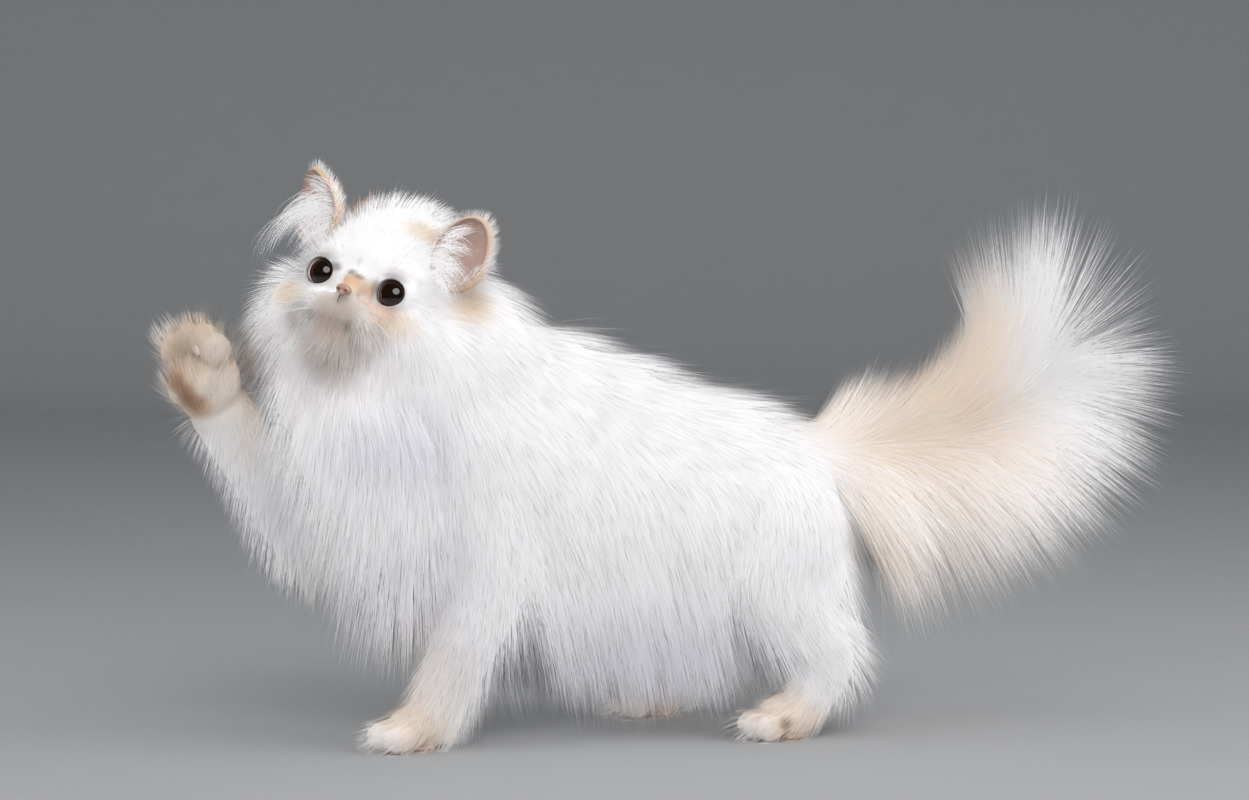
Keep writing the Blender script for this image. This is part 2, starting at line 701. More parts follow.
def make_skin():
    """One closed surface for the head, body, tail, legs and paws, with lids round open eye sockets."""
    forms = [form for part in FLESH.values() for form in part]
    forms += [(place, (EYE_RADIUS + LID_DEPTH,) * 3, HEAD) for place in eye_centres()]
    skin = blended("skin", forms, voxel=0.21, rounds=5)
    cut(skin, [(place, (EYE_RADIUS + SOCKET_GAP,) * 3, HEAD) for place in eye_centres()])
    wide, high = EYE_OPENING
    cut(skin, [((x * OPENING_APART, y - 1.2, z), (wide, 1.3, high), HEAD) for x, y, z in eye_centres()])
    lifted(skin.data)
    return skin


def unwrap(thing):
    """Unfolds the surface onto its map."""
    bpy.context.view_layer.objects.active = thing
    thing.select_set(True)
    thing.data.uv_layers.new(name=MAP)
    bpy.ops.object.mode_set(mode="EDIT")
    bpy.ops.mesh.select_all(action="SELECT")
    bpy.ops.uv.smart_project(angle_limit=math.radians(66), island_margin=0.001)
    bpy.ops.object.mode_set(mode="OBJECT")
    thing.select_set(False)


# How the coat lies. Each region gives a direction of flow, a length, a lift off the skin in degrees, a fall,
# how strongly tips draw together, a width and how thickly the tufts stand.

def region(flow, *numbers):
    """The flow of a region, and its numbers at every place."""
    spread = [np.broadcast_to(np.asarray(v, float), (len(flow),)) for v in numbers]
    return flow, np.stack(spread, axis=1)


def head_lie(points, normals):
    """Very short round the nose and eyes, swept back over the crown, full over the cheeks."""
    q = moved(HEAD.inverted(), points)
    x, y, z = q.T
    from_nose = np.linalg.norm(q - (0, -4.2, -0.4), axis=1)
    back = ramp(from_nose, 1, 7.5)
    crown = ramp(z, 2, 4.6)
    low = ramp(-z, 0.6, 3.4)
    side = ramp(np.abs(x), 1.6, 4.6)
    down = ramp(-z, -0.8, 2.4)
    muzzle = low * (1 - ramp(from_nose, 2.8, 4.6))
    flow = np.stack([0.75 * x, 0.75 * (y + 4.6), 0.5 * z + 0.3], axis=1)
    flow += np.stack([0.9 * x * muzzle - 0.3 * x * down, -0.3 * down, -2.6 * down - 1 * muzzle], axis=1)
    for place in eye_centres():
        away = q - place
        near = 1 - ramp(np.linalg.norm(away, axis=1), 1.4, 2.6)
        flow += 1.6 * unit(away) * near[:, None]
    length = 0.36 + 2.9 * back**1.3 + 1.3 * muzzle * ramp(from_nose, 0.6, 2)
    length = np.where(z > 0.5, length * (0.8 - 0.3 * crown), length) * (1 + 0.12 * side * low)
    return region(turned(HEAD, flow), length, 12 + 2 * back + 8 * crown + 10 * muzzle, 0.12 + 0.3 * low,
                  0.05 + 0.12 * low, 0.025 + 0.009 * back, 130 - 70 * back)


def neck_lie(points, normals):
    """The ruff: long and full, falling over the chest and shoulders."""
    x, _, z = points.T
    back = ramp(x, -15, -8)
    top = np.clip(normals[:, 2], 0, 1)
    flow = np.stack([-0.12 + 0.75 * back + 1.2 * top, 0.2 * normals[:, 1] * (1 - top), -1 + 0 * x], axis=1)
    front = ramp(-x, 11, 15)
    hem = ramp(-z, -17, -13)
    return region(flow, 4.8 + 1 * front - 0.6 * top + 1.6 * hem, 9 + 5 * front, 0.3, 0.06, 0.038, 38)


def torso_lie(points, normals):
    """Back along the spine, down the flanks, and a long fringe under the belly."""
    x, y, z = points.T
    top = ramp(normals[:, 2], 0.1, 0.85)
    under = ramp(-normals[:, 2], 0, 0.6)
    rump = ramp(x, 9, 14)
    flow = np.stack([0.34 + 0.9 * top - 0.1 * rump, 0.12 * y * top, -1 + 0.85 * top], axis=1)
    hang = np.clip(z - 1.3, 3, 9.6)
    length = (4.7 - 0.2 * top) * (1 - under) + hang * under
    return region(flow, length, 6 + 8 * under, 0.2 + 0.6 * under, 0.05 + 0.3 * under,
                  0.04 - 0.008 * under, 36)


def along_path(points, path):
    """How far along the path each place is, from 0 to 1, the path's heading there and its nearest place."""
    knots = smooth_path(path, 8)
    headings = unit(np.gradient(knots, axis=0))
    nearest = np.argmin(np.linalg.norm(points[:, None] - knots[None], axis=2), axis=1)
    return nearest / (len(knots) - 1), headings[nearest], knots[nearest]


def tail_lie(points, normals):
    """A plume: hair that stands off the bone, long and drooping below, and fans out at the tip."""
    along, heading, knots = along_path(points, TAIL_PATH)
    around = points - knots
    around = unit(around - heading * dot(around, heading)[:, None] + 1e-6)
    spread = unit(around * (1, 0.45, 1))
    low = ramp(0.5 - 0.5 * spread[:, 2], 0.25, 0.75)
    end = ramp(along, 0.86, 1)
    stand = np.radians(44 + 14 * along + 20 * low - 26 * end)[:, None]
    flow = heading * np.cos(stand) + spread * np.sin(stand)
    flow[:, 2] -= 0.15 * low * (1 - along)
    length = ((3.4 + 7.2 * along) * (1 - low) + (12 - 2.8 * along) * low) * (1 - 0.08 * end)
    fall = 0.35 * low * (1 - 0.6 * along) - 0.34 * (1 - low)
    return region(flow, length, 8, fall, 0.08, 0.04 - 0.008 * along, 110 + 130 * along)


def leg_lie(path, length=2.6, feather=1.6):
    """Down the limb, or hanging where the limb is raised, and longer behind."""
    def lie(points, normals):
        along, heading, _ = along_path(points, path)
        behind = np.clip(normals[:, 0], 0, 1)
        raised = ramp(heading[:, 2], -0.2, 0.3)[:, None]
        flow = (heading + 0.15 * normals) * (1 - raised) + (0.2 * normals - UP) * raised
        long = (length + feather * behind) * (1 - 0.35 * ramp(along, 0.6, 1))
        return region(flow, long, 8 + 4 * behind, 0.2, 0.06, 0.038, 42)
    return lie


def paw_lie(name):
    """Short, from the wrist towards the toes and round their tips."""
    ways = paw_frame(name)
    raised = 1 if name == RAISED_PAW else 0

    def lie(points, normals):
        x, y, z = moved(ways.inverted(), points).T
        flow = np.stack([0.15 * x, -1 + 0 * x, -0.25 - 0.3 * ramp(-y, 1.2, 2.6)], axis=1)
        palm = raised * ramp(-z, 0.1, 0.8)
        outer = raised * ramp(-normals[:, 0], 0.4, 0.9)
        length = 1.2 - 0.3 * palm + 0.6 * outer
        lift = 24 - 8 * palm + 16 * outer
        return region(turned(ways, flow), length, lift, 0.1, 0.25, 0.034, 76 + 30 * palm)
    return lie


LIES = {
    "head": head_lie,
    "neck": neck_lie,
    "torso": torso_lie,
    "tail": tail_lie,
    "foreleg_left": leg_lie(FORELEG_LEFT),
    "foreleg_right": leg_lie(FORELEG_RIGHT, 2.7, 0.8),
    "hindleg_left": leg_lie(HINDLEG_LEFT, 3.4, 0.3),
    "hindleg_right": leg_lie(HINDLEG_RIGHT, 3.4, 0.3),
    **{name: paw_lie(name) for name in PAWS},
}
BORDER = 0.7  # centimetres over which the coat of one region passes into the next


def depth_in(points, forms):
    """How far each place is outside the nearest of the balls, in centimetres, negative inside."""
    nearest = np.full(len(points), 1e9)
    for centre, radii, axes in forms:
        q = (moved(axes.inverted(), points) - centre) / radii
        nearest = np.minimum(nearest, (np.linalg.norm(q, axis=1) - 1) * min(radii))
    return nearest


def lie_at(points, normals):
    """The lie of the whole coat, each region passing softly into its neighbours."""
    weights = np.stack([np.exp(-depth_in(points, FLESH[name]) / BORDER) for name in LIES], axis=1)
    weights /= weights.sum(axis=1, keepdims=True)
    flow, numbers = 0, 0
    for column, lie in enumerate(LIES.values()):
        way, more = lie(points, normals)
        share = weights[:, column, None]
        flow = flow + unit(way) * share
        numbers = numbers + more * share
    return unit(flow), numbers


def bare(points):
    """True where no tuft grows: in the eyes, on the nose, in the ears and under the soles."""
    q = moved(HEAD.inverted(), points)
    found = points[:, 2] < 0.25
    for place in eye_centres():
        off = (q - place) / (EYE_OPENING[0] + 0.16, 1, EYE_OPENING[1] + 0.16)
        found |= (np.hypot(off[:, 0], off[:, 2]) < 1) & (q[:, 1] < place[1])
        found |= np.linalg.norm(q - place, axis=1) < EYE_RADIUS + 0.08
    found |= np.linalg.norm((q - (0, -4.5, -0.6)) / (0.5, 0.5, 0.42), axis=1) < 1
    for side in (1, -1):
        in_ear = moved(ear_frame(side).inverted(), points)
        found |= np.linalg.norm((in_ear - (-0.1 * side, -0.3, 0.5)) / (1.3, 0.9, 2), axis=1) < 1
    return found


# Tufts

COAT_TUFTS = 92000
EAR_TUFTS = 3400
EAR_HAIR = (0.3, 0.45)  # the shortest, and how much longer it may be
EAR_HAIR_LIFT = 16  # degrees
EAR_HAIR_WIDTH = 0.03
CUP_HAIR_WIDTH = 0.026
WISP_SPANS = 5
WISP_STRAY = (0.14, 0.2)  # how far tufts differ in their way at the root and at the tip
WISP_LENGTHS = (0.6, 1.1)
WISP_GATHER = 0.3
TUFTS_IN_A_PIECE = 11000
PATCH = 0.003  # breadth of a tuft's place on the map
TUFT_ROLL = 0.08  # radians by which tufts differ in their turn about their own length
TUFT_FLATNESS = 0.22
SHORT = 1.5  # a tuft shorter than this in centimetres bends less and needs fewer faces
LONG = 6  # a loose tuft longer than this isn't lengthened
WIDEST = 10.6  # half the coat's breadth, beyond which it is pressed in
LOOSE = 0.1  # share of tufts that stand off the others
LOOSE_LIFT = 12  # degrees
LOOSE_WIDTH = 0.55
LOOSE_SHORT, LOOSE_LONG = 1.7, 1.15  # how much longer a loose tuft is than a short or a long one that isn't
LENGTH_SPREAD = 0.13
LENGTH_LIMITS = (0.6, 1.22)
PRESSED = 0.75  # share of what is beyond WIDEST that is taken away
HAIR_GAP = 0.05  # between the floor and the lowest hair
ROOT_DEPTH = 0.06  # how far under the skin a tuft starts
# Large locks, then small ones: the share of a region's own gather, how many tufts a lock has and a seed
LOCKS = ((0.9, 60, 11), (0.7, 9, 12))
LOCK_APART = 0.2625  # share of the distance between their roots that the tips of a lock keep


def scattered(thing, count, draw, crowd):
    """Roots on the surface, with their normals and their places on the unwrapped map."""
    mesh = thing.data
    mesh.calc_loop_triangles()
    corners = read_all(mesh.loop_triangles, "vertices", 3, np.int32)
    loops = read_all(mesh.loop_triangles, "loops", 3, np.int32)
    places, normals = vertex_array(mesh), read_all(mesh.vertices, "normal").astype(float)
    a, b, c = (places[corners[:, k]] for k in range(3))
    areas = np.linalg.norm(np.cross(b - a, c - a), axis=1) / 2
    chance = areas * crowd((a + b + c) / 3, unit(np.cross(b - a, c - a)))
    picks = draw.choice(len(corners), count, p=chance / chance.sum())
    cuts = np.sort(draw.random((count, 2)), axis=1)
    shares = np.stack([cuts[:, 0], cuts[:, 1] - cuts[:, 0], 1 - cuts[:, 1]], axis=1)
    roots, ups, patches = (
        np.einsum("ij,ijk->ik", shares, values)
        for values in (places[corners[picks]], normals[corners[picks]], map_array(mesh)[loops[picks]])
    )
    return roots, unit(ups), patches


def paths_from(roots, normals, flow, length, lift, fall, spans, draw, stray=0.07):
    """Each tuft's places from root to tip: it starts off the skin by its lift and bends along the lie."""
    inward = np.minimum(dot(flow, normals), 0)[:, None]
    along = unit(flow - normals * inward)
    rise = np.radians(lift)[:, None]
    start = unit(along * np.cos(rise) + normals * np.sin(rise) + draw.normal(0, stray, roots.shape))
    end = unit(start * 0.7 + along * 0.5 - UP * fall[:, None] + draw.normal(0, stray, roots.shape))
    t = np.linspace(0, 1, spans + 1)[None, :, None]
    bend = start[:, None] * t + (end - start)[:, None] * t * t / 2
    return roots[:, None] + length[:, None, None] * bend - normals[:, None] * ROOT_DEPTH * (1 - t)


def gathered(paths, roots, share, every, seed):
    """Draws the tips of tufts towards the nearest of a few chosen tufts, so that they lie in locks."""
    draw = np.random.default_rng(seed)
    chosen = draw.choice(len(roots), max(1, len(roots) // every), replace=False)
    tree = KDTree(len(chosen))
    for k, root in enumerate(chosen):
        tree.insert(roots[root], k)
    tree.balance()
    nearest = chosen[[tree.find(root)[1] for root in roots]]
    pull = share[:, None, None] * np.linspace(0, 1, paths.shape[1])[None, :, None] ** 1.4
    apart = LOCK_APART * (roots - roots[nearest])[:, None]
    return paths + (paths[nearest] + apart - paths) * pull


def lively(roots):
    """How far the shade of neighbouring tufts differs: most on the lower face, least on the body."""
    q = moved(HEAD.inverted(), roots)
    return 1 - ramp(np.linalg.norm(q - (0, -3, -3.2), axis=1), 2.6, 5.2)


def facing(roots, normals):
    """The way each tuft faces the light: outwards from the body, and upwards on the tail's plume."""
    side = np.clip(2.5 * normals[:, 1:2], -1, 1)
    hung = normals * (1, 1, 0) + np.maximum(normals[:, 2:], -0.1) * UP + 0.35 * side * (0, 1, 0)
    plume = 0.15 * normals + 0.15 * side * (0, 1, 0) + UP
    share = ramp(roots[:, 0], 13.5, 16.5)[:, None]
    return unit(unit(hung) * (1 - share) + unit(plume) * share)


def tuft_points(paths, normals, width, draw):
    """Corners of three-sided tufts along their paths, flat towards the skin and coming to a fine tip."""
    count, rows = paths.shape[:2]
    ahead = unit(np.gradient(paths, axis=1))
    roll = draw.normal(0, TUFT_ROLL, count)[:, None, None]
    across = unit(np.cross(ahead, normals[:, None]))
    out = np.cross(across, ahead)
    across, out = across * np.cos(roll) + out * np.sin(roll), out * np.cos(roll) - across * np.sin(roll)
    t = np.linspace(0, 1, rows)[None, :, None]
    broad = width[:, None, None] * np.minimum(1, 0.55 + 2.2 * t) * np.sqrt(np.maximum(1 - t, 0)) / 2
    across, out = across * broad, out * broad * TUFT_FLATNESS
    ring = np.stack([paths + across, paths + out, paths - across], axis=2)
    return np.concatenate([ring[:, :-1].reshape(count, -1, 3), paths[:, -1:]], axis=1)


def tuft_faces(spans):
    found = [(0, 1, 2)]
    for k in range(spans - 1):
        for j in range(3):
            a, b = 3 * k + j, 3 * k + (j + 1) % 3
            found += [(a, b + 3, b), (a, a + 3, b + 3)]
    last = 3 * (spans - 1)
    return np.array(found + [(last + (j + 1) % 3, last + j, last + 3) for j in range(3)])


def tuft_mesh(name, roots, normals, patches, paths, width, draw, marked):
    """Closed tufts with their markings, shaded by the way that each one faces."""
    points = tuft_points(paths, normals, width, draw)
    count, each = points.shape[:2]
    spans = each // 3
    faces = (tuft_faces(spans) + (np.arange(count) * each)[:, None, None]).reshape(-1, 3)
    mesh = bpy.data.meshes.new(name)
    mesh.vertices.add(count * each)
    mesh.vertices.foreach_set("co", points.astype(np.float32).ravel())
    mesh.loops.add(faces.size)
    mesh.loops.foreach_set("vertex_index", faces.astype(np.int32).ravel())
    mesh.polygons.add(len(faces))
    mesh.polygons.foreach_set("loop_start", np.arange(0, faces.size, 3, dtype=np.int32))
    mesh.update(calc_edges=True)
    share = np.append(np.repeat(np.arange(spans) / spans, 3), 1)
    sideways = np.append(np.tile([0, 0.5, 1], spans), 0.5)
    spot = np.stack([sideways - 0.5, share - 0.5], axis=1) * PATCH
    corner = (patches[:, None] + spot).reshape(-1, 2)[faces.ravel()]
    mesh.uv_layers.new(name=MAP).data.foreach_set("uv", corner.astype(np.float32).ravel())
    for mark, values in markings(points.reshape(-1, 3)).items():
        add_mask(mesh, mark, values * marked)
    add_mask(mesh, "tone", np.repeat(draw.random(count) * (0.3 + 0.7 * lively(paths[:, 0])), each))
    add_mask(mesh, "depth", np.tile((1 - share) ** 1.5, count))
    mesh.shade_smooth()
    mesh.normals_split_custom_set_from_vertices(np.repeat(facing(roots, normals), each, axis=0))
    return mesh


def coat_pieces(name, roots, normals, patches, paths, width, draw, material, marked=1):
    """Makes the tufts into pieces, each well under the limit of triangles."""
    order = np.argsort(roots[:, 0])
    for k, part in enumerate(np.array_split(order, math.ceil(len(order) / TUFTS_IN_A_PIECE))):
        chosen = [rows[part] for rows in (roots, normals, patches, paths, width)]
        mesh = tuft_mesh(f"{name}_{k}", *chosen, draw, marked)
        piece = placed(new_object(f"{name}_{k}", mesh), material)
        piece.visible_shadow = False  # white fur passes light on


def make_coat(skin, material):
    """The coat: short tufts of two spans and long ones of three, some of them loose."""
    draw = np.random.default_rng(7)

    def crowd(places, ups):
        return lie_at(places, ups)[1][:, 5]

    rows = scattered(skin, COAT_TUFTS, draw, crowd)
    kept = ~bare(rows[0])
    roots, normals, patches = (values[kept] for values in rows)
    flow, numbers = lie_at(roots, normals)
    length, lift, fall, gather, width, _ = numbers.T
    length = length * draw.normal(1, LENGTH_SPREAD, len(length)).clip(*LENGTH_LIMITS)
    loose = draw.random(len(length)) < LOOSE
    lift = lift + np.where(loose, LOOSE_LIFT, 0)
    width = width * np.where(loose, LOOSE_WIDTH, 1)
    longer = np.where(length < SHORT, LOOSE_SHORT, np.where(length < LONG, LOOSE_LONG, 1))
    length = length * np.where(loose, longer, 1)
    for name, part, spans in (("coat_short", length < SHORT, 2), ("coat_long", length >= SHORT, 3)):
        chosen = [values[part] for values in (roots, normals, flow, length, lift, fall)]
        paths = paths_from(*chosen, spans, draw)
        for share, every, seed in LOCKS:
            paths = gathered(paths, roots[part], share * gather[part], every, seed)
        paths[:, :, 2] = np.maximum(paths[:, :, 2], FLOOR + HAIR_GAP)
        over = np.maximum(np.abs(paths[:, :, 1]) - WIDEST, 0)
        paths[:, :, 1] -= PRESSED * over * np.sign(paths[:, :, 1])
        coat_pieces(name, roots[part], normals[part], patches[part], paths, width[part], draw, material)


# Ears, eyes, nose, mouth, pads, claws and whiskers

def cup_centre(side):
    x, y, z = EAR_CUP_CENTRE
    return (x * side, y, z)


def out_of_cup(q, side):
    """Below 1 within the cup of an ear, in the ear's own axes."""
    return np.linalg.norm((q - np.array(cup_centre(side))) / EAR_CUP, axis=1)


def make_ears(material, fur):
    """Makes both ears and returns their surfaces, for the long hair to find its roots on."""
    draw = np.random.default_rng(21)
    surfaces = {}
    for name, side in (("ear_left", 1), ("ear_right", -1)):
        axes = ear_frame(side)
        shell = blended(f"{name}_shell", [((0, 0, 0.5), EAR_SIZE, axes)], voxel=0.08, rounds=4, rings=32)
        cut(shell, [(cup_centre(side), EAR_CUP, axes)], rings=40)
        q = moved(axes.inverted(), vertex_array(shell.data))
        add_mask(shell.data, "rim", ramp(out_of_cup(q, side), 1.005, 1.06))
        broad, narrower = EAR_TAPER[side]
        q[:, 0] *= broad - narrower * ramp(q[:, 2], -1.5, 3.3)
        set_places(shell.data, moved(axes, q))
        unwrap(shell)
        ear_coat(shell, name, side, draw, fur)
        surfaces[side] = corners_of(shell.data)
        placed(shell, material, (name,))
    return surfaces


def corners_of(mesh):
    """The places of the corners of a mesh's faces, and where each lies on the unwrapped map."""
    return vertex_array(mesh)[read_all(mesh.loops, "vertex_index", 1, np.int32).ravel()], map_array(mesh)


def nearest_patches(roots, surface):
    """Where each root lies on the unwrapped map of a surface."""
    places, flat = surface
    return flat[[int(np.argmin(np.sum((places - root) ** 2, axis=1))) for root in roots]]


def ear_coat(shell, name, side, draw, fur):
    """Short hair on the back and rim of an ear."""
    axes = ear_frame(side)

    def crowd(places, ups):
        return np.where(out_of_cup(moved(axes.inverted(), places), side) < 1.01, 0.02, 1)

    roots, normals, patches = scattered(shell, EAR_TUFTS, draw, crowd)
    ones = np.ones(len(roots))
    across = moved(axes.inverted(), roots)[:, 0]
    flow = turned(axes, np.stack([0.25 * across, 0.1 * ones, ones], axis=1))
    shortest, more = EAR_HAIR
    length = shortest + more * draw.random(len(roots))
    paths = paths_from(roots, normals, flow, length, EAR_HAIR_LIFT * ones, 0 * ones, 2, draw)
    coat_pieces(f"{name}_fur", roots, normals, patches, paths, EAR_HAIR_WIDTH * ones, draw, fur)


def wisp(centre, spread, ahead, end, length, count, draw):
    """Roots and paths of loose tufts that grow from one small patch and sweep the same way."""
    roots = np.array(centre) + draw.normal(0, 1, (count, 3)) * spread
    start = unit(np.array(ahead) + draw.normal(0, WISP_STRAY[0], (count, 3)))
    finish = unit(np.array(end) + draw.normal(0, WISP_STRAY[1], (count, 3)))
    size = length * draw.uniform(*WISP_LENGTHS, count)[:, None, None]
    t = np.linspace(0, 1, WISP_SPANS + 1)[None, :, None]
    paths = roots[:, None] + size * (start[:, None] * t + (finish - start)[:, None] * t * t / 2)
    middle = paths.mean(axis=0, keepdims=True)
    return roots, paths + (middle - paths) * WISP_GATHER * t * t


# Hair across the cup of an ear, from its top down: x and z of the roots, how many, their length, and how far
# they rise at the root and at the tip
CUP_HAIR = (
    (-1.5, 0.9, 50, 2.3, 0.9, 0.5),
    (-1.6, 0.1, 60, 3.2, 0.5, -0.2),
    (-1.6, -0.7, 70, 3.9, 0.2, -0.7),
    (-1.4, -1.5, 80, 3.9, 0, -1),
)
# Wisps of the right ear: middle and spread of the roots, way out, way at the tip, length, how many
WISPS = (
    ((0.2, -0.4, 0.4), (0.25, 0.15, 0.5), (-1, -0.5, 0.2), (-0.7, 0, -1.2), 4.6, 90),
    ((0.2, -0.4, 0), (0.1, 0.1, 0.2), (-1, -0.4, 0.3), (-0.75, 0, -1.35), 7.2, 60),
)


def make_furnishings(fur, surfaces):
    """Long white hair across the cup of each ear, with long wisps from the right one."""
    draw = np.random.default_rng(31)
    plans = []
    for side in (1, -1):
        for x, z, count, length, rise, end in CUP_HAIR:
            plans.append((side, (x * side, -0.3, z), (0.22, 0.2, 0.35), (0.8 * side, -0.5, rise),
                          (0.9 * side, 0, end), length, count))
    plans += [(-1, *row) for row in WISPS]
    found = []
    for side, *plan in plans:
        axes = ear_frame(side)
        roots, paths = wisp(*plan, draw)
        roots = moved(axes, roots)
        ups = np.broadcast_to(turned(axes, np.array([[0, -1, 0]])), roots.shape)
        paths = moved(axes, paths.reshape(-1, 3)).reshape(paths.shape)
        found.append((roots, ups, nearest_patches(roots, surfaces[side]), paths))
    roots, ups, patches, paths = (np.concatenate(rows) for rows in zip(*found))
    width = np.full(len(roots), CUP_HAIR_WIDTH)
    coat_pieces("ear_tufts", roots, ups, patches, paths, width, draw, fur, marked=0)


GAZES = {"eye_left": (0.2, -1, 0.06), "eye_right": (0.34, -1, 0.06)}  # in the head's axes
EYE_WIDE = 1.02  # radians from the gaze to the outer edge of the white


def make_eyes(material):
    for (name, gaze), place in zip(GAZES.items(), eye_centres()):
        ball = balls(f"{name}_ball", [(place, (EYE_RADIUS,) * 3, HEAD)], 40)
        q = moved(HEAD.inverted(), vertex_array(ball.data)) - place
        off = np.arccos(np.clip(dot(unit(q), unit(np.array(gaze))), -1, 1))
        add_mask(ball.data, "off_gaze", np.clip(off / EYE_WIDE, 0, 1))
        placed(ball, material, (name,))


def make_lid_rims(material):
    """A thin wet rim round each eye."""
    paths = []
    for x, y, z in eye_centres():
        ring = []
        for turn in np.linspace(0, math.tau, 41):
            across, up = EYE_OPENING[0] * math.cos(turn), EYE_OPENING[1] * math.sin(turn)
            reach = math.hypot(across + 0.05 * np.sign(x), up)
            depth = math.sqrt((EYE_RADIUS + LID_RIM) ** 2 - reach**2)
            ring.append(HEAD @ Vector((x * OPENING_APART + across, y - depth, z + up)))
        paths.append((ring, [LID_RIM] * len(ring)))
    placed(tubes("lid_rims", paths), material)


def make_nose(material, dark):
    """The nose leather, its nostrils and the dark depth in them."""
    forms = [
        ((0, -4.45, -0.46), (0.5, 0.3, 0.25), HEAD),
        ((0.3, -4.42, -0.58), (0.27, 0.28, 0.24), HEAD),
        ((-0.3, -4.42, -0.58), (0.27, 0.28, 0.24), HEAD),
        ((0, -4.45, -0.84), (0.18, 0.26, 0.2), HEAD),
    ]
    nose = blended("nose_leather", forms, voxel=0.035, rounds=4)
    cut(nose, [(place, (0.14, 0.2, 0.08), HEAD) for place in both_sides(0.27, -4.76, -0.64)], rings=12)
    placed(nose, material)
    depths = [(place, (0.12, 0.1, 0.065), HEAD) for place in both_sides(0.27, -4.56, -0.64)]
    placed(balls("nostril_depths", depths, 10), dark)


def make_mouth(dark):
    """The short line below the nose."""
    ways = [HEAD @ Vector(p) for p in smooth_path([(0, -4.58, -1), (0, -4.64, -1.2), (0, -4.58, -1.5)], 6)]
    placed(tubes("mouth_line", [(ways, np.linspace(0.04, 0.025, len(ways)))]), dark)


def make_pads(material):
    """The pads under the paws that the cat stands on. Those of the raised paw are lost in its fur."""
    for name in PAWS:
        if name == RAISED_PAW:
            continue
        axes = paw_frame(name)
        forms = [
            ((0.1, 0.35, -1.1), (1.05, 0.66, 0.34), axes),
            ((0.6, 0.8, -1.05), (0.55, 0.55, 0.32), axes),
            ((-0.45, 0.8, -1.05), (0.55, 0.55, 0.32), axes),
        ]
        sole = blended(f"{name}_pad", forms, voxel=0.05, rounds=4)
        toes = [((x, y + 0.05, -1.08), (0.32, 0.4, 0.24), axes) for x, y in TOES]
        for thing in (sole, blended(f"{name}_toe_pads", toes, voxel=0.05, rounds=3)):
            lifted(thing.data)
            placed(thing, material)


def make_claws(material):
    """A curved claw at the end of each toe, and the nub on the near side of the raised paw."""
    paths = []
    steps = np.linspace(0, 1, 7)
    for name in PAWS:
        axes = paw_frame(name)
        for x, y in TOES:
            ways = [axes @ Vector((x * 1.02, y - 0.75 - 0.42 * t, -0.3 - 0.45 * t * t)) for t in steps]
            ways = [Vector((p.x, p.y, max(p.z, 0.08))) for p in ways]
            paths.append((ways, 0.1 * (1 - 0.93 * steps)))
    nub = [(-28.5, 0.7, 26), (-28.4, 0.1, 25.8), (-28.3, -0.3, 25.5)]
    paths.append((smooth_path(nub, 3), [0.26, 0.27, 0.27, 0.25, 0.22, 0.17, 0.08]))
    claws = tubes("claws", paths)
    lifted(claws.data)
    placed(claws, material)


def whisker(root, ahead, bend, thick, steps):
    """The places and radii of a hair that leaves its root one way, bends towards another and tapers."""
    root, ahead, bend = Vector(root), Vector(ahead), Vector(bend)
    shares = np.linspace(0, 1, steps)
    return [HEAD @ (root + ahead * t + bend * t * t) for t in shares], thick * (1 - 0.85 * shares)


def make_whiskers(material):
    """Short fine whiskers from the pads of the muzzle and two over each eye."""
    draw = np.random.default_rng(41)
    paths = []
    for side in (1, -1):
        for row in range(3):
            for k in range(4):
                root = (side * (1.05 + 0.32 * k), -4.15 + 0.16 * k, -1.35 - 0.36 * row)
                ahead = Vector((side, -0.75 + 0.1 * k, 0.15 - 0.3 * row + 0.1 * draw.normal()))
                size = 2.3 + 0.5 * k + 0.5 * draw.normal()
                paths.append(whisker(root, ahead * size, Vector((0, 0.21, -0.33)) * size, 0.017, 9))
        for k in range(2):
            root = (side * (1.9 + 0.5 * k), -3.25, 2.2)
            paths.append(whisker(root, (side * 0.95, -0.855, 1.9), (side * 0.3, 0.5, 0), 0.014, 8))
    placed(tubes("whiskers", paths), material)


# Camera, light and floor

CAMERA_TURN = -12  # degrees
CAMERA_AWAY = 200
CAMERA_HEIGHT = 33
CAMERA_FOCAL = 2985  # pixels
PHOTO = (1249, 800)
HORIZON = 240  # pixels from the top
SENSOR = 36

# The light and the stage, in metres
LIT_HEIGHT = 0.18
WARM_LIGHT = (1, 0.99, 0.98)
COOL_LIGHT = (0.98, 0.99, 1)
# Each light's azimuth, where 0 is in front of the cat's left side, its elevation, distance, size, power and
# colour, and whether it shows in gloss
LIGHTS = {
    "key": (-11, 39, 1.8, 1.2, 15, WARM_LIGHT, True),
    "top": (10, 72, 2, 1.6, 6, WARM_LIGHT, False),
    "left": (-85, 14, 2, 1.6, 11, COOL_LIGHT, False),
    "right": (62, 18, 2, 1.6, 19, COOL_LIGHT, False),
}
STAGE_FRONT = -5
STAGE_BACK = 3.6
STAGE_BEND = 1.2
STAGE_TOP = 5
STAGE_SIDE = 6


def make_camera():
    data = bpy.data.cameras.new("camera")
    camera = new_object("camera", data)
    turn = math.radians(CAMERA_TURN)
    back = Vector((math.sin(turn), -math.cos(turn), 0))
    camera.location = (back * CAMERA_AWAY + Vector((0, 0, CAMERA_HEIGHT)) + SHIFT) * CM
    camera.rotation_euler = (-back).to_track_quat("-Z", "Y").to_euler()
    data.sensor_width = SENSOR
    data.lens = SENSOR * CAMERA_FOCAL / PHOTO[0]
    data.shift_y = -(PHOTO[1] / 2 - HORIZON) / PHOTO[0]
    bpy.context.scene.camera = camera


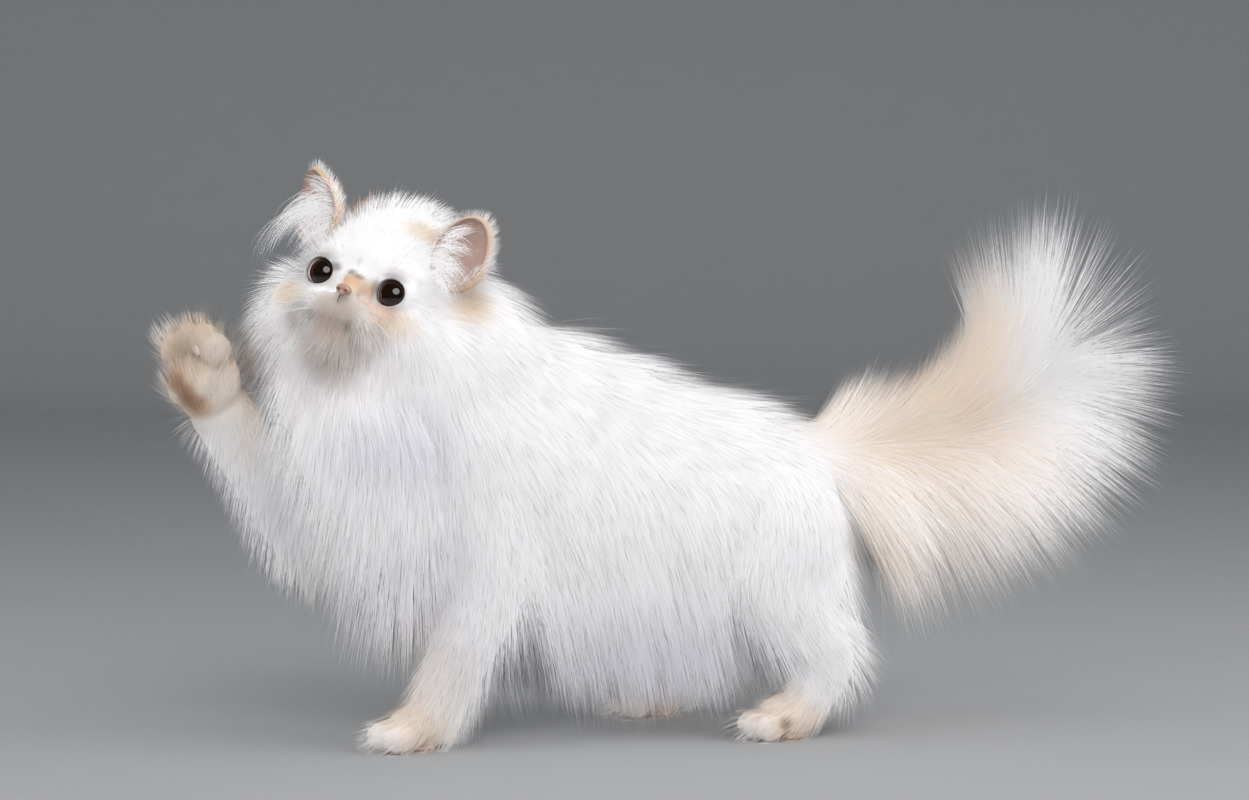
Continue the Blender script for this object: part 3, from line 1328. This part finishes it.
def lamp(name, azimuth, elevation, away, size, power, colour, glossy):
    """A round soft light that points at the middle of the cat."""
    data = bpy.data.lights.new(name, "AREA")
    data.shape = "DISK"
    data.size = size
    data.energy = power
    data.color = colour
    light = new_object(name, data)
    a, e = math.radians(azimuth), math.radians(elevation)
    way = Vector((math.sin(a) * math.cos(e), -math.cos(a) * math.cos(e), math.sin(e)))
    light.location = way * away + Vector((0, 0, LIT_HEIGHT))
    light.rotation_euler = (-way).to_track_quat("-Z", "Y").to_euler()
    light.visible_glossy = glossy


def make_stage(material):
    """A plain floor that curves up into a plain backdrop, square to the camera."""
    profile = [(STAGE_FRONT, 0)]
    for turn in np.linspace(0, math.pi / 2, 13):
        profile.append((STAGE_BACK + STAGE_BEND * math.sin(turn), STAGE_BEND * (1 - math.cos(turn))))
    profile.append((STAGE_BACK + STAGE_BEND, STAGE_TOP))
    turn = math.radians(CAMERA_TURN)
    ahead, right = Vector((-math.sin(turn), math.cos(turn), 0)), Vector((math.cos(turn), math.sin(turn), 0))
    sides = (-STAGE_SIDE, STAGE_SIDE)
    verts = [ahead * y + right * x + Vector((0, 0, z)) for y, z in profile for x in sides]
    faces = [(2 * k, 2 * k + 1, 2 * k + 3, 2 * k + 2) for k in range(len(profile) - 1)]
    floor = object_from("floor", verts, faces)
    floor.data.materials.append(material)
    floor.data.shade_smooth()
    floor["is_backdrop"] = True


def make_light():
    world = bpy.data.worlds.new("studio")
    world.use_nodes = True
    set_inputs(world.node_tree.nodes["Background"], Color=(0.96, 0.98, 1, 1), Strength=0.48)
    world.cycles_visibility.glossy = False
    bpy.context.scene.world = world
    for name, numbers in LIGHTS.items():
        lamp(name, *numbers)
    bpy.context.scene.view_settings.view_transform = "Standard"


def main():
    make_camera()
    fur = fur_material()
    skin = make_skin()
    unwrap(skin)
    for mark, values in markings(vertex_array(skin.data)).items():
        add_mask(skin.data, mark, values)
    make_coat(skin, fur)
    placed(skin, skin_material(), FLESH_NODES)
    make_furnishings(fur, make_ears(ear_material(), fur))
    make_eyes(eye_material())
    dark = wet_material("dark_line", (0.05, 0.025, 0.02), (0.09, 0.05, 0.04), 0.5)
    make_lid_rims(wet_material("lid_skin", (0.035, 0.02, 0.016), (0.1, 0.06, 0.045), 0.6))
    make_nose(wet_material("nose_skin", (0.42, 0.24, 0.19), (0.52, 0.33, 0.27), 0.38), dark)
    make_mouth(dark)
    make_pads(wet_material("pad_skin", (0.46, 0.31, 0.25), (0.56, 0.4, 0.33), 0.6, 260))
    make_claws(horn_material("claw_horn", (0.72, 0.62, 0.52)))
    make_whiskers(horn_material("whisker_hair", (0.88, 0.86, 0.84)))
    make_stage(stage_material())
    make_light()


main()

lows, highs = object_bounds()
rows = [("before", cad_lows, cad_highs), ("after", lows, highs)]
"\n".join(
    f"{name} {[round(v, 5) for v in low]} {[round(v, 5) for v in high]}" for name, low, high in rows)
